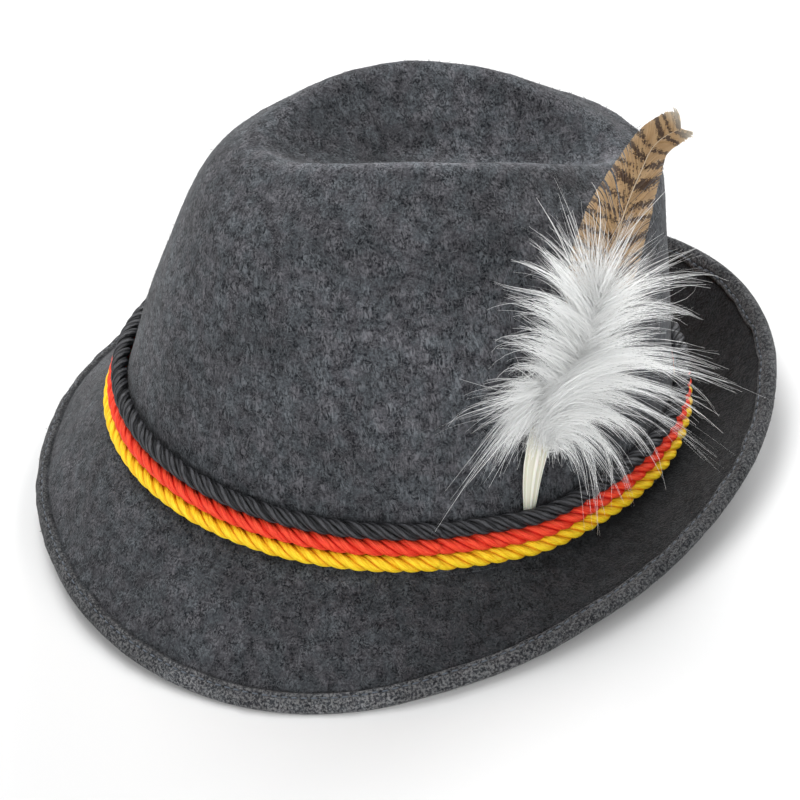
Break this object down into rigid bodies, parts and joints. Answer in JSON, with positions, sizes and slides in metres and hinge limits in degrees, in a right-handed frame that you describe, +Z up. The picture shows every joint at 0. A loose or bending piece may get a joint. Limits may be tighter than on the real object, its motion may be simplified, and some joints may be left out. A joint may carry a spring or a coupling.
{
  "type": "tyrolean hat",
  "caption": "Grey felt hat with a centre dent, a brim turned down in front and up behind, twisted cords around the crown and a feather and down trim at the side.",
  "frame": {"origin": "middle of the bounding box at the surface the hat rests on", "axes": "-Y is the front of the hat, +X the wearer's left where the feather is, +Z up"},
  "size_m": [0.2558, 0.2768, 0.1491],
  "materials": {
    "felt": "grey wool felt",
    "black_cord": "satin",
    "red_cord": "satin",
    "gold_cord": "satin",
    "quill": "satin",
    "barred_feather": "satin",
    "white_down": "matte"
  },
  "bodies": {
    "root": {"felt_body": "felt", "cord_black": "black_cord", "cord_red": "red_cord", "cord_gold": "gold_cord", "feather_stem": "quill", "pheasant_feather": "barred_feather", "down_plume": "white_down"}
  },
  "joints": []
}
